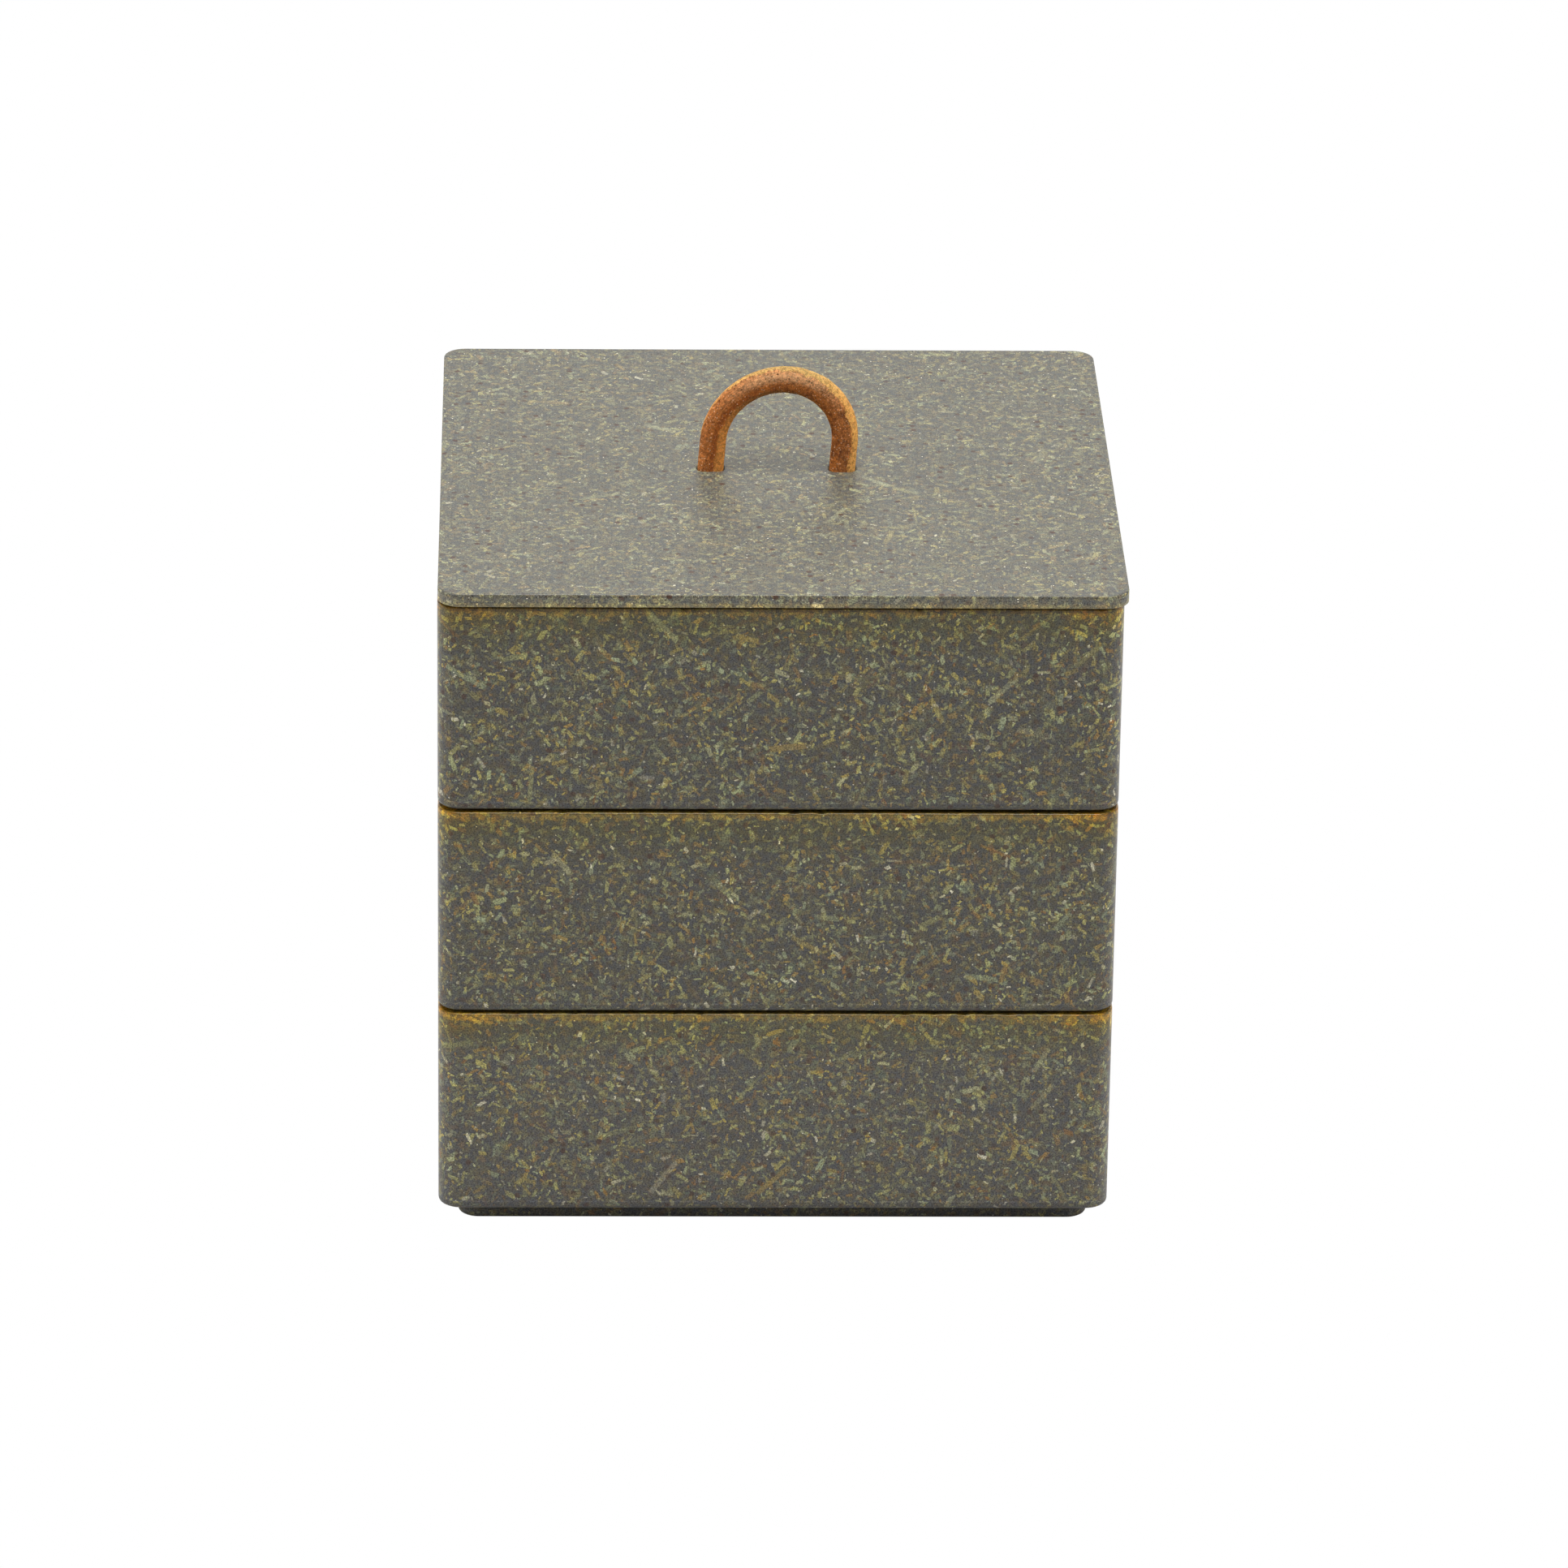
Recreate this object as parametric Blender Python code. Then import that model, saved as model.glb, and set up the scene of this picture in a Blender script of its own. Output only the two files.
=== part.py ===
# Three-tier stacking food box: three equal trays, a flat lid and a leather loop to lift it by.
# Metres, +Z up. The origin is the middle of the resting face under the lowest tray.

import math

import bmesh
import bpy
from mathutils import Vector

# Trays, outside sizes, from the shoulder up to the rim
TRAY_WIDTH = 0.150
TRAY_DEPTH = 0.150
TRAY_BODY_HEIGHT = 0.0481
TRAY_NAMES = ("bottom_tray", "middle_tray", "top_tray")
WALL = 0.0034
FLOOR_THICKNESS = 0.0035
OUTER_CORNER_RADIUS = 0.005
MOUTH_CORNER_RADIUS = 0.0055
SHOULDER_RADIUS = 0.0006
RIM_RADIUS = 0.0004
INSIDE_FLOOR_RADIUS = 0.003

# Foot ring under each tray, which stands in the mouth of the tray below
FOOT_HEIGHT = 0.0043
FOOT_PLAY = 0.0010
FOOT_RING_WIDTH = 0.0034
FOOT_RECESS_DEPTH = 0.0035
FOOT_EDGE_RADIUS = 0.0008

# Space left where one piece rests on the next
TRAY_SEAT_GAP = 0.0006
LID_SEAT_GAP = 0.0004
HANDLE_SEAT_GAP = 0.0003

# Lid plate, and the rib under it that drops into the top tray's mouth
LID_THICKNESS = 0.0031
LID_OVERHANG = 0.0004
LID_CORNER_RADIUS = 0.005
LID_TOP_EDGE_RADIUS = 0.0003
LID_LOWER_EDGE_RADIUS = 0.0002
LID_SHIFT_X = 0.0005
LID_SHIFT_Y = -0.0005
LID_RIB_PLAY = 0.0010
LID_RIB_HEIGHT = 0.0036
LID_RIB_WIDTH = 0.0034
LID_RIB_EDGE_RADIUS = 0.0008

# Leather loop: a thick strip with rounded edges, bent to an arch that leans a little to +X
CORD_WIDTH = 0.0060
CORD_THICKNESS = 0.0044
CORD_EDGE_RADIUS = 0.0017
HANDLE_SPAN = 0.0296
HANDLE_LEG_LENGTH = 0.0065
HANDLE_CENTRE_HEIGHT = 0.0213
HANDLE_LEAN = 0.0015

# Blind sockets that the loop's ends are glued into, and the round bosses around them
SOCKET_DEPTH = 0.0050
SOCKET_FLOOR = 0.0014
SOCKET_CLEARANCE = 0.0003
BOSS_WALL = 0.0026

# Steps around curved stretches
CORNER_STEPS = 5
EDGE_STEPS = 2
FLOOR_STEPS = 4
CORD_CORNER_STEPS = 3
ARCH_STEPS = 20
BOSS_SIDES = 32
SMALLEST_RADIUS = 0.0001
SMOOTH_ANGLE = math.radians(35)

MOUTH_HALF_X = TRAY_WIDTH / 2 - WALL
MOUTH_HALF_Y = TRAY_DEPTH / 2 - WALL
TRAY_RIM_HEIGHT = FOOT_HEIGHT + TRAY_BODY_HEIGHT
TRAY_PITCH = TRAY_BODY_HEIGHT + TRAY_SEAT_GAP
STACK_HEIGHT = (len(TRAY_NAMES) - 1) * TRAY_PITCH + TRAY_RIM_HEIGHT
LID_UNDERSIDE = STACK_HEIGHT + LID_SEAT_GAP
LID_TOP = LID_UNDERSIDE + LID_THICKNESS


# A rectangle with round corners, which can be drawn larger or smaller at any height
class Outline:
    def __init__(self, half_x, half_y, corner_radius):
        self.half_x = half_x
        self.half_y = half_y
        self.corner_radius = corner_radius

    def ring(self, offset, height, steps=CORNER_STEPS):
        radius = max(self.corner_radius + offset, SMALLEST_RADIUS)
        centre_x = self.half_x + offset - radius
        centre_y = self.half_y + offset - radius
        points = []
        for sign_x, sign_y, start in ((1, 1, 0), (-1, 1, 90), (-1, -1, 180), (1, -1, 270)):
            for step in range(steps + 1):
                angle = math.radians(start + 90 * step / steps)
                x = sign_x * centre_x + radius * math.cos(angle)
                y = sign_y * centre_y + radius * math.sin(angle)
                points.append(Vector((x, y, height)))
        return points

    def rounded(self, centre_offset, centre_height, radius, start, stop, steps):
        rings = []
        for step in range(steps + 1):
            angle = math.radians(start + (stop - start) * step / steps)
            offset = centre_offset + radius * math.cos(angle)
            height = centre_height + radius * math.sin(angle)
            rings.append(self.ring(offset, height))
        return rings


# Runs a face through all the rings and closes the opening that it leaves at the first one
def skin(rings):
    mesh = bmesh.new()
    face = mesh.faces.new([mesh.verts.new(point) for point in rings[0]])
    for ring in rings[1:]:
        face = bmesh.ops.extrude_discrete_faces(mesh, faces=[face])["faces"][0]
        for vert, point in zip(face.verts, ring):
            vert.co = point
    open_edges = [edge for edge in mesh.edges if edge.is_boundary]
    bmesh.ops.contextual_create(mesh, geom=open_edges)
    bmesh.ops.recalc_face_normals(mesh, faces=mesh.faces)
    return mesh


def make_object(name, mesh, material, place=(0, 0, 0), parent=None):
    data = bpy.data.meshes.new(name)
    mesh.to_mesh(data)
    mesh.free()
    data.shade_smooth()
    data.set_sharp_from_angle(angle=SMOOTH_ANGLE)
    piece = bpy.data.objects.new(name, data)
    bpy.context.collection.objects.link(piece)
    piece.location = place
    piece.parent = parent
    if material:
        data.materials.append(material)
    return piece


def make_material(name, colour, roughness, metallic=0.0):
    material = bpy.data.materials.new(name)
    material.use_nodes = True
    shader = material.node_tree.nodes["Principled BSDF"]
    shader.inputs["Base Color"].default_value = (*colour, 1.0)
    shader.inputs["Roughness"].default_value = roughness
    shader.inputs["Metallic"].default_value = metallic
    return material


# A closed piece that is cut out of, or joined to, another and isn't part of the model itself
def make_tool(name, mesh, place, parent):
    tool = make_object(name, mesh, None, place, parent)
    tool.hide_render = True
    tool.display_type = "WIRE"
    return tool


def apply_boolean(piece, tool, operation):
    modifier = piece.modifiers.new(f"{operation.lower()} {tool.name}", "BOOLEAN")
    modifier.operation = operation
    modifier.object = tool
    modifier.solver = "EXACT"


# One tray: recess under the floor, foot ring, shoulder, wall, rim, inside wall and floor
def tray_rings():
    outside = Outline(TRAY_WIDTH / 2, TRAY_DEPTH / 2, OUTER_CORNER_RADIUS)
    mouth = Outline(MOUTH_HALF_X, MOUTH_HALF_Y, MOUTH_CORNER_RADIUS)
    foot = Outline(MOUTH_HALF_X - FOOT_PLAY, MOUTH_HALF_Y - FOOT_PLAY, MOUTH_CORNER_RADIUS - FOOT_PLAY)
    foot_edge = min(FOOT_EDGE_RADIUS, FOOT_RING_WIDTH / 2.5)
    rim_edge = min(RIM_RADIUS, WALL / 2.5)
    floor_height = FOOT_RECESS_DEPTH + FLOOR_THICKNESS
    inner_foot = foot_edge - FOOT_RING_WIDTH

    rings = [foot.ring(-FOOT_RING_WIDTH, FOOT_RECESS_DEPTH)]
    rings += foot.rounded(inner_foot, foot_edge, foot_edge, 180, 270, EDGE_STEPS)
    rings += foot.rounded(-foot_edge, foot_edge, foot_edge, 270, 360, EDGE_STEPS)
    rings += [foot.ring(0, FOOT_HEIGHT)]
    rings += outside.rounded(
        -SHOULDER_RADIUS, FOOT_HEIGHT + SHOULDER_RADIUS, SHOULDER_RADIUS, -90, 0, EDGE_STEPS
    )
    rings += outside.rounded(-rim_edge, TRAY_RIM_HEIGHT - rim_edge, rim_edge, 0, 90, EDGE_STEPS)
    rings += mouth.rounded(rim_edge, TRAY_RIM_HEIGHT - rim_edge, rim_edge, 90, 180, EDGE_STEPS)
    rings += mouth.rounded(
        -INSIDE_FLOOR_RADIUS, floor_height + INSIDE_FLOOR_RADIUS, INSIDE_FLOOR_RADIUS, 0, -90, FLOOR_STEPS
    )
    return rings


# The lid without its sockets: space inside the rib, rib, underside, edge and top
def lid_rings():
    plate = Outline(TRAY_WIDTH / 2 + LID_OVERHANG, TRAY_DEPTH / 2 + LID_OVERHANG, LID_CORNER_RADIUS)
    rib = Outline(
        MOUTH_HALF_X - LID_RIB_PLAY, MOUTH_HALF_Y - LID_RIB_PLAY, MOUTH_CORNER_RADIUS - LID_RIB_PLAY
    )
    rib_edge = min(LID_RIB_EDGE_RADIUS, LID_RIB_WIDTH / 2.5)
    inner_rib = rib_edge - LID_RIB_WIDTH
    rib_edge_height = rib_edge - LID_RIB_HEIGHT
    top_edge = min(LID_TOP_EDGE_RADIUS, LID_THICKNESS / 2.5)
    lower_edge = min(LID_LOWER_EDGE_RADIUS, LID_THICKNESS / 2.5)

    rings = [rib.ring(-LID_RIB_WIDTH, 0)]
    rings += rib.rounded(inner_rib, rib_edge_height, rib_edge, 180, 270, EDGE_STEPS)
    rings += rib.rounded(-rib_edge, rib_edge_height, rib_edge, 270, 360, EDGE_STEPS)
    rings += [rib.ring(0, 0)]
    rings += plate.rounded(-lower_edge, lower_edge, lower_edge, -90, 0, EDGE_STEPS)
    rings += plate.rounded(-top_edge, LID_THICKNESS - top_edge, top_edge, 0, 90, EDGE_STEPS)
    return rings


# Middle line of the loop over the lid's top, from the end of one leg to the end of the other
def handle_path():
    end_height = HANDLE_SEAT_GAP - SOCKET_DEPTH
    half_span = HANDLE_SPAN / 2
    rise = HANDLE_CENTRE_HEIGHT - HANDLE_LEG_LENGTH
    leg_heights = (end_height, -HANDLE_SEAT_GAP, HANDLE_LEG_LENGTH / 2)
    points = [(-half_span, height) for height in leg_heights]
    for step in range(ARCH_STEPS + 1):
        angle = math.pi * (1 - step / ARCH_STEPS)
        points.append((half_span * math.cos(angle), HANDLE_LEG_LENGTH + rise * math.sin(angle)))
    points += [(half_span, height) for height in reversed(leg_heights)]
    lean_per_height = HANDLE_LEAN / HANDLE_CENTRE_HEIGHT
    return [Vector((x + lean_per_height * max(z, 0), 0, z)) for x, z in points]


# The strip's section, drawn square to the middle line at each of its points
def handle_rings():
    section = Outline(CORD_WIDTH / 2, CORD_THICKNESS / 2, CORD_EDGE_RADIUS).ring(0, 0, CORD_CORNER_STEPS)
    path = handle_path()
    rings = []
    for index, point in enumerate(path):
        before = path[max(index - 1, 0)]
        after = path[min(index + 1, len(path) - 1)]
        along = (after - before).normalized()
        if point.z <= 0:
            along = Vector((0, 0, math.copysign(1, along.z)))
        across = Vector((along.z, 0, -along.x))
        rings.append([point + across * corner.x + Vector((0, corner.y, 0)) for corner in section])
    return rings


def make_trays(material):
    trays = []
    for index, name in enumerate(TRAY_NAMES):
        trays.append(make_object(name, skin(tray_rings()), material, (0, 0, index * TRAY_PITCH)))
    return trays


def boss_mesh():
    radius = CORD_WIDTH / 2 + SOCKET_CLEARANCE + BOSS_WALL
    height = SOCKET_DEPTH + SOCKET_FLOOR - LID_THICKNESS / 2
    mesh = bmesh.new()
    bmesh.ops.create_cone(
        mesh, cap_ends=True, segments=BOSS_SIDES, radius1=radius, radius2=radius, depth=height
    )
    bmesh.ops.translate(mesh, verts=mesh.verts, vec=(0, 0, LID_THICKNESS / 2 - height / 2))
    return mesh


def socket_mesh():
    socket = Outline(
        CORD_WIDTH / 2 + SOCKET_CLEARANCE,
        CORD_THICKNESS / 2 + SOCKET_CLEARANCE,
        CORD_EDGE_RADIUS + SOCKET_CLEARANCE,
    )
    above_lid = LID_THICKNESS * 1.5
    return skin([socket.ring(0, LID_THICKNESS - SOCKET_DEPTH), socket.ring(0, above_lid)])


def make_lid(material):
    lid = make_object("lid", skin(lid_rings()), material, (LID_SHIFT_X, LID_SHIFT_Y, LID_UNDERSIDE))
    for side, sign in (("left", -1), ("right", 1)):
        place = (sign * HANDLE_SPAN / 2, 0, 0)
        boss = make_tool(f"boss_{side}", boss_mesh(), place, lid)
        apply_boolean(lid, boss, "UNION")
    for side, sign in (("left", -1), ("right", 1)):
        place = (sign * HANDLE_SPAN / 2, 0, 0)
        socket = make_tool(f"socket_{side}", socket_mesh(), place, lid)
        apply_boolean(lid, socket, "DIFFERENCE")
    return lid


def make_handle(material, lid):
    return make_object("handle_loop", skin(handle_rings()), material, (0, 0, LID_THICKNESS), lid)


def main():
    for item in list(bpy.data.objects):
        bpy.data.objects.remove(item, do_unlink=True)
    resin = make_material("flaked resin", (0.115, 0.110, 0.088), 0.42)
    lid_resin = make_material("flaked resin, lid", (0.160, 0.155, 0.125), 0.38)
    leather = make_material("leather", (0.330, 0.110, 0.030), 0.65)
    make_trays(resin)
    lid = make_lid(lid_resin)
    make_handle(leather, lid)


main()
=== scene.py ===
import math
import random

import bmesh
import bpy
from mathutils import Matrix, Vector, noise


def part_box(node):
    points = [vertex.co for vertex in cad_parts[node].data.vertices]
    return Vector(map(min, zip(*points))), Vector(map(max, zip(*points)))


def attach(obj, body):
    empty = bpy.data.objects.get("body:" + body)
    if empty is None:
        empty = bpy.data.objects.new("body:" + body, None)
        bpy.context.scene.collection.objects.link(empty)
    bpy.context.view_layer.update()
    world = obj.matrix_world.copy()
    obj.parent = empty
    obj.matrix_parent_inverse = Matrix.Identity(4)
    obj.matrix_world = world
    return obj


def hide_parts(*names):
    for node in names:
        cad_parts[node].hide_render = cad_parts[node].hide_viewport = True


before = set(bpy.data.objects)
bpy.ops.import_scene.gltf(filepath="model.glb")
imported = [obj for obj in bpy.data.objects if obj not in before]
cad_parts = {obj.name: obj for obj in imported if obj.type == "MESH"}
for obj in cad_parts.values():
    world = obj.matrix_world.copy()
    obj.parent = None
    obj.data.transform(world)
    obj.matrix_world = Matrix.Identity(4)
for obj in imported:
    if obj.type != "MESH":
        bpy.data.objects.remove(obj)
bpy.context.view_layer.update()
mm = 0.001
close = 0.02 * mm      # two lengths nearer than this count as equal
touching = 0.001 * mm  # points nearer than this are one


# Camera first: the angle, distance and lens that put the box's edges where the photograph has them

cameraSetup = {
    "turn": -1.714,  # degrees round the box, 0 is straight in front
    "rise": 23.476,  # degrees above the table
    "roll": 0.824,
    "distance": 2.0721,
    "lookAt": (0.00327, 0.0, 0.07557),
    "lens": 208.24,
    "sensor": 36.0,
    "farthest": 50,
}


def makeCamera(setup):
    turn, rise, roll = (math.radians(setup[key]) for key in ("turn", "rise", "roll"))
    back = Vector((math.sin(turn) * math.cos(rise), -math.cos(turn) * math.cos(rise), math.sin(rise)))
    right = Vector((math.cos(turn), math.sin(turn), 0))
    up = back.cross(right)
    axisX = math.cos(roll) * right + math.sin(roll) * up
    axisY = math.cos(roll) * up - math.sin(roll) * right
    data = bpy.data.cameras.new("camera")
    data.lens = setup["lens"]
    data.sensor_width = setup["sensor"]
    data.clip_end = setup["farthest"]
    camera = bpy.data.objects.new("camera", data)
    bpy.context.scene.collection.objects.link(camera)
    placed = Matrix((axisX, axisY, back)).transposed().to_4x4()
    placed.translation = Vector(setup["lookAt"]) + back * setup["distance"]
    camera.matrix_world = placed
    bpy.context.scene.camera = camera


makeCamera(cameraSetup)
print("camera placed")


# Outlines are rectangles with round corners, each given as (half size, corner radius), centred on the Z axis

def cornerCentre(half, radius):
    return half[0] - radius, half[1] - radius


def depthInside(point, half, radius):  # how far a point lies inside the outline
    centreX, centreY = cornerCentre(half, radius)
    overX, overY = abs(point.x) - centreX, abs(point.y) - centreY
    if overX > 0 and overY > 0:
        return radius - math.hypot(overX, overY)
    return min(half[0] - abs(point.x), half[1] - abs(point.y))


def lengthRound(point, half, radius):  # length from the middle of the +X side to a point, and of a quarter
    centreX, centreY = cornerCentre(half, radius)
    overX, overY = abs(point.x) - centreX, abs(point.y) - centreY
    quarter = centreX + centreY + radius * math.pi / 2
    if overX > 0 and overY > 0:
        along = centreY + radius * math.atan2(overY, overX)
    elif half[0] - abs(point.x) <= half[1] - abs(point.y):
        along = min(abs(point.y), centreY)
    else:
        along = quarter - min(abs(point.x), centreX)
    if point.x >= 0 and point.y >= 0:
        return along, quarter
    if point.x < 0 and point.y >= 0:
        return 2 * quarter - along, quarter
    if point.x < 0:
        return 2 * quarter + along, quarter
    return 4 * quarter - along, quarter


def quarterLength(ring):
    return lengthRound(Vector((0, 0, 0)), *ring)[1]


def sameLap(value, wanted, lap):  # a place on a closed line, on the lap that brings it nearest to another
    return value + lap * round((wanted - value) / lap)


def wrapped(point, centre, ring, quarter):  # length round the ring, even over the face that has this centre
    lap, seam = 4 * quarter, quarter / 2
    stretch = quarter / quarterLength(ring)
    along, middle = ((lengthRound(place, *ring)[0] * stretch - seam) % lap for place in (point, centre))
    return sameLap(along, middle, lap)


# Small helpers that pick and shape the faces and edges of a bmesh

def uprightEdges(bm, half):
    picked = []
    for edge in bm.edges:
        first, second = (vert.co for vert in edge.verts)
        isUpright = abs(first.z - second.z) > close and (first.xy - second.xy).length < close
        if isUpright and abs(abs(first.x) - half[0]) < close and abs(abs(first.y) - half[1]) < close:
            picked.append(edge)
    return picked


def ringEdges(bm, half, radius, height):
    picked = []
    for edge in bm.edges:
        if all(abs(vert.co.z - height) < close and abs(depthInside(vert.co, half, radius)) < close
               for vert in edge.verts):
            picked.append(edge)
    return picked


def roundOff(bm, edges, radius, segments):
    bmesh.ops.bevel(bm, geom=edges, offset=radius, offset_type="OFFSET", segments=segments,
                    profile=0.5, affect="EDGES", material=-1)


def roundAll(bm, corners, edges):  # upright corners, then edges that run round, each with its segments last
    for half, radius, segments in corners:
        roundOff(bm, uprightEdges(bm, half), radius, segments)
    bm.normal_update()
    for half, corner, level, radius, segments in edges:
        roundOff(bm, ringEdges(bm, half, corner, level), radius, segments)


def blockFrom(half, low, high):
    bm = bmesh.new()
    bmesh.ops.create_cube(bm, size=1)
    bmesh.ops.scale(bm, vec=(2 * half[0], 2 * half[1], high - low), verts=bm.verts)
    bmesh.ops.translate(bm, vec=(0, 0, low + (high - low) / 2), verts=bm.verts)
    bm.normal_update()
    return bm


def faceAt(bm, height, sign):  # the flat face nearest the middle at a height, looking up or down
    return min((face for face in bm.faces if abs(face.calc_center_median().z - height) < close
                and face.normal.z * sign > 0.9), key=lambda face: face.calc_center_median().xy.length)


def stepIn(bm, face, margin, rise):  # a smaller copy of a flat face, raised or sunk
    bmesh.ops.inset_region(bm, faces=[face], thickness=margin, use_even_offset=True)
    moved = bmesh.ops.extrude_discrete_faces(bm, faces=[face])["faces"][0]
    bmesh.ops.translate(bm, vec=(0, 0, rise), verts=moved.verts)
    bm.normal_update()
    return moved


def cutLongEdges(bm, shape):  # more points along the straight stretches, for small dents
    edges = [edge for edge in bm.edges if edge.calc_length() > shape["longEdge"]]
    bmesh.ops.subdivide_edges(bm, edges=edges, cuts=shape["cuts"], use_grid_fill=True)


def cutAcross(bm, level):  # a row of edges all round at one height
    bmesh.ops.bisect_plane(bm, geom=bm.verts[:] + bm.edges[:] + bm.faces[:], plane_co=(0, 0, level),
                           plane_no=(0, 0, 1), dist=touching)


def pushCap(bm, cap, rise, steps):  # lengthens a bar by its end face
    for _ in range(steps):
        cap = bmesh.ops.extrude_discrete_faces(bm, faces=cap)["faces"]
        bmesh.ops.translate(bm, vec=(0, 0, rise), verts=cap[0].verts)
    return cap


def finishPiece(name, bm):
    data = bpy.data.meshes.new(name)
    bm.to_mesh(data)
    bm.free()
    data.shade_smooth()
    piece = bpy.data.objects.new(name, data)
    bpy.context.scene.collection.objects.link(piece)
    return piece


def holdFlats(piece):  # flat faces keep their own normals beside rounded edges
    flats = piece.modifiers.new("flats", "WEIGHTED_NORMAL")
    flats.weight = 100


def boxSize(node):
    low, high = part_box(node)
    half = ((high.x - low.x) / 2, (high.y - low.y) / 2)
    centre = Vector(((high.x + low.x) / 2, (high.y + low.y) / 2, low.z))
    return half, high.z - low.z, centre


# The tray moulding, made once and copied for the three tiers

trayShape = {
    "wall": 3.4 * mm,
    "floor": 3.5 * mm,
    "cornerRadius": 5.0 * mm,
    "mouthRadius": 5.5 * mm,
    "shoulderRadius": 1.0 * mm,
    "rimRadius": 0.4 * mm,
    "insideRadius": 3.0 * mm,
    "footHeight": 4.3 * mm,
    "footPlay": 1.0 * mm,
    "footRing": 3.4 * mm,
    "footRecess": 3.5 * mm,
    "footRadius": 0.8 * mm,
    "dentReach": 1.8 * mm,  # dents in the rim and the lower edge go no further along the wall
    "longEdge": 60 * mm,
    "cuts": 190,
}


def trayRings(shape, half):  # the outlines of the wall, the mouth, the foot and the recess under it
    mouthHalf = [size - shape["wall"] for size in half]
    footHalf = [size - shape["footPlay"] for size in mouthHalf]
    recessHalf = [size - shape["footRing"] for size in footHalf]
    footCorner = shape["mouthRadius"] - shape["footPlay"]
    return ((half, shape["cornerRadius"]), (mouthHalf, shape["mouthRadius"]), (footHalf, footCorner),
            (recessHalf, footCorner - shape["footRing"]))


def trayBmesh(shape, half, height):
    bm = blockFrom(half, shape["footHeight"], height)
    wall, mouth, foot, recess = trayRings(shape, half)
    floorTop = shape["footRecess"] + shape["floor"]
    footFace = stepIn(bm, faceAt(bm, shape["footHeight"], -1), shape["wall"] + shape["footPlay"],
                      -shape["footHeight"])
    stepIn(bm, footFace, shape["footRing"], shape["footRecess"])
    stepIn(bm, faceAt(bm, height, 1), shape["wall"], floorTop - height)
    roundAll(bm, ((*wall, 12), (*mouth, 10), (*foot, 10), (*recess, 4)), (
        (*wall, shape["footHeight"], shape["shoulderRadius"], 4),
        (*wall, height, shape["rimRadius"], 4),
        (*mouth, height, shape["rimRadius"], 4),
        (*mouth, floorTop, shape["insideRadius"], 6),
        (*foot, 0, shape["footRadius"], 4),
        (*recess, 0, shape["footRadius"], 3)))
    cutLongEdges(bm, shape)
    for level in (shape["footHeight"] + shape["dentReach"], height - shape["dentReach"]):
        cutAcross(bm, level)
    return bm


edgeWear = {
    "rough": 0.05 * mm,      # how far the moulded edges wander
    "roughScale": 0.45,      # waves per millimetre
    "rimReach": 1.2 * mm,    # how far down the rim they do
    "sideReach": 1.0 * mm,   # how far in from the outside
    "lowReach": 0.6 * mm,    # how far up the lower edge of the lid
    "topShare": 0.4,         # the upper edge of the lid is less worn
    "nicks": 46,
    "nickSize": (0.5, 1.5),  # millimetres along the rim
    "nickDepth": (0.12, 0.38),
    "nickDown": 0.7,         # shares of the depth
    "nickIn": 0.5,
}


def wanderAt(place):
    return noise.noise(place) + 0.6 * noise.noise(place * 3.1)


def wearTray(bm, shape, half, height, wear, seed):
    rng = random.Random(seed)
    shift = Vector((37.0 * seed, 11.0 * seed, 5.0 * seed))
    wall = (half, shape["cornerRadius"])
    total = 4 * quarterLength(wall)
    nicks = [(rng.uniform(0, total), rng.uniform(*wear["nickSize"]) * mm,
              rng.uniform(*wear["nickDepth"]) * mm) for _ in range(wear["nicks"])]
    lowEdge = shape["footHeight"] + shape["shoulderRadius"]
    for vert in bm.verts:
        inside = depthInside(vert.co, *wall)
        onRim = vert.co.z > height - wear["rimReach"]
        onShoulder = vert.co.z < lowEdge and inside < shape["shoulderRadius"] + close
        if not (onRim or onShoulder):
            continue
        place = vert.co / mm * wear["roughScale"] + shift
        outward = Vector((vert.co.x, vert.co.y, 0)).normalized()
        vert.co += outward * (-abs(wanderAt(place)) * wear["rough"])
        if onRim:
            vert.co.z -= abs(noise.noise(place * 1.7 + shift)) * wear["rough"]
        if onRim and inside < wear["sideReach"]:
            along = lengthRound(vert.co, *wall)[0]
            for start, size, depth in nicks:
                away = abs(along - start) / size
                if away < 1:
                    bite = depth * (1 - away * away)
                    vert.co.z -= bite * wear["nickDown"]
                    vert.co -= outward * bite * wear["nickIn"]


# The UV map flow lays out the resin's pattern in millimetres. On a tray Y is 0 at the rim, falls down the
# outside and rises down the inside. On the lid it rises from 0 at the lower edge. The rest lies far from that

flowShift = {
    "trayStart": 14,  # in sides of a tray, as its step
    "trayStep": 10,
    "sheetStep": 300,
    "sheet": 900,
    "trayFloor": 200,
    "trayUnder": 500,
    "lidTop": 600,
    "lidUnder": 1000,
    "lidRing": 1300,
    "boss": 1900,
    "bossApart": 3,
}

flowRule = {
    "flatTray": 0.75,    # a normal this upright is that of a face that lies flat
    "flatLid": 0.8,
    "looksDown": -0.05,
    "midFloor": 5 * mm,  # between the recess and the floor above it
    "onRing": 1.0 * mm,  # faces of the lid as near as this to a ring belong to it
    "mostOf": 0.7,       # of a wall: the rest belongs to the next ring inside
}


def trayRing(shape, half, depth, isUnder):  # the outline that the pattern follows at a depth inside the wall
    wall, mouth, foot, recess = trayRings(shape, half)
    mostOf = flowRule["mostOf"]
    if not isUnder:
        return wall if depth < mostOf * shape["wall"] else mouth
    footEdge = shape["wall"] + shape["footPlay"]
    if depth < mostOf * footEdge:
        return wall
    return foot if depth < footEdge + mostOf * shape["footRing"] else recess


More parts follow.
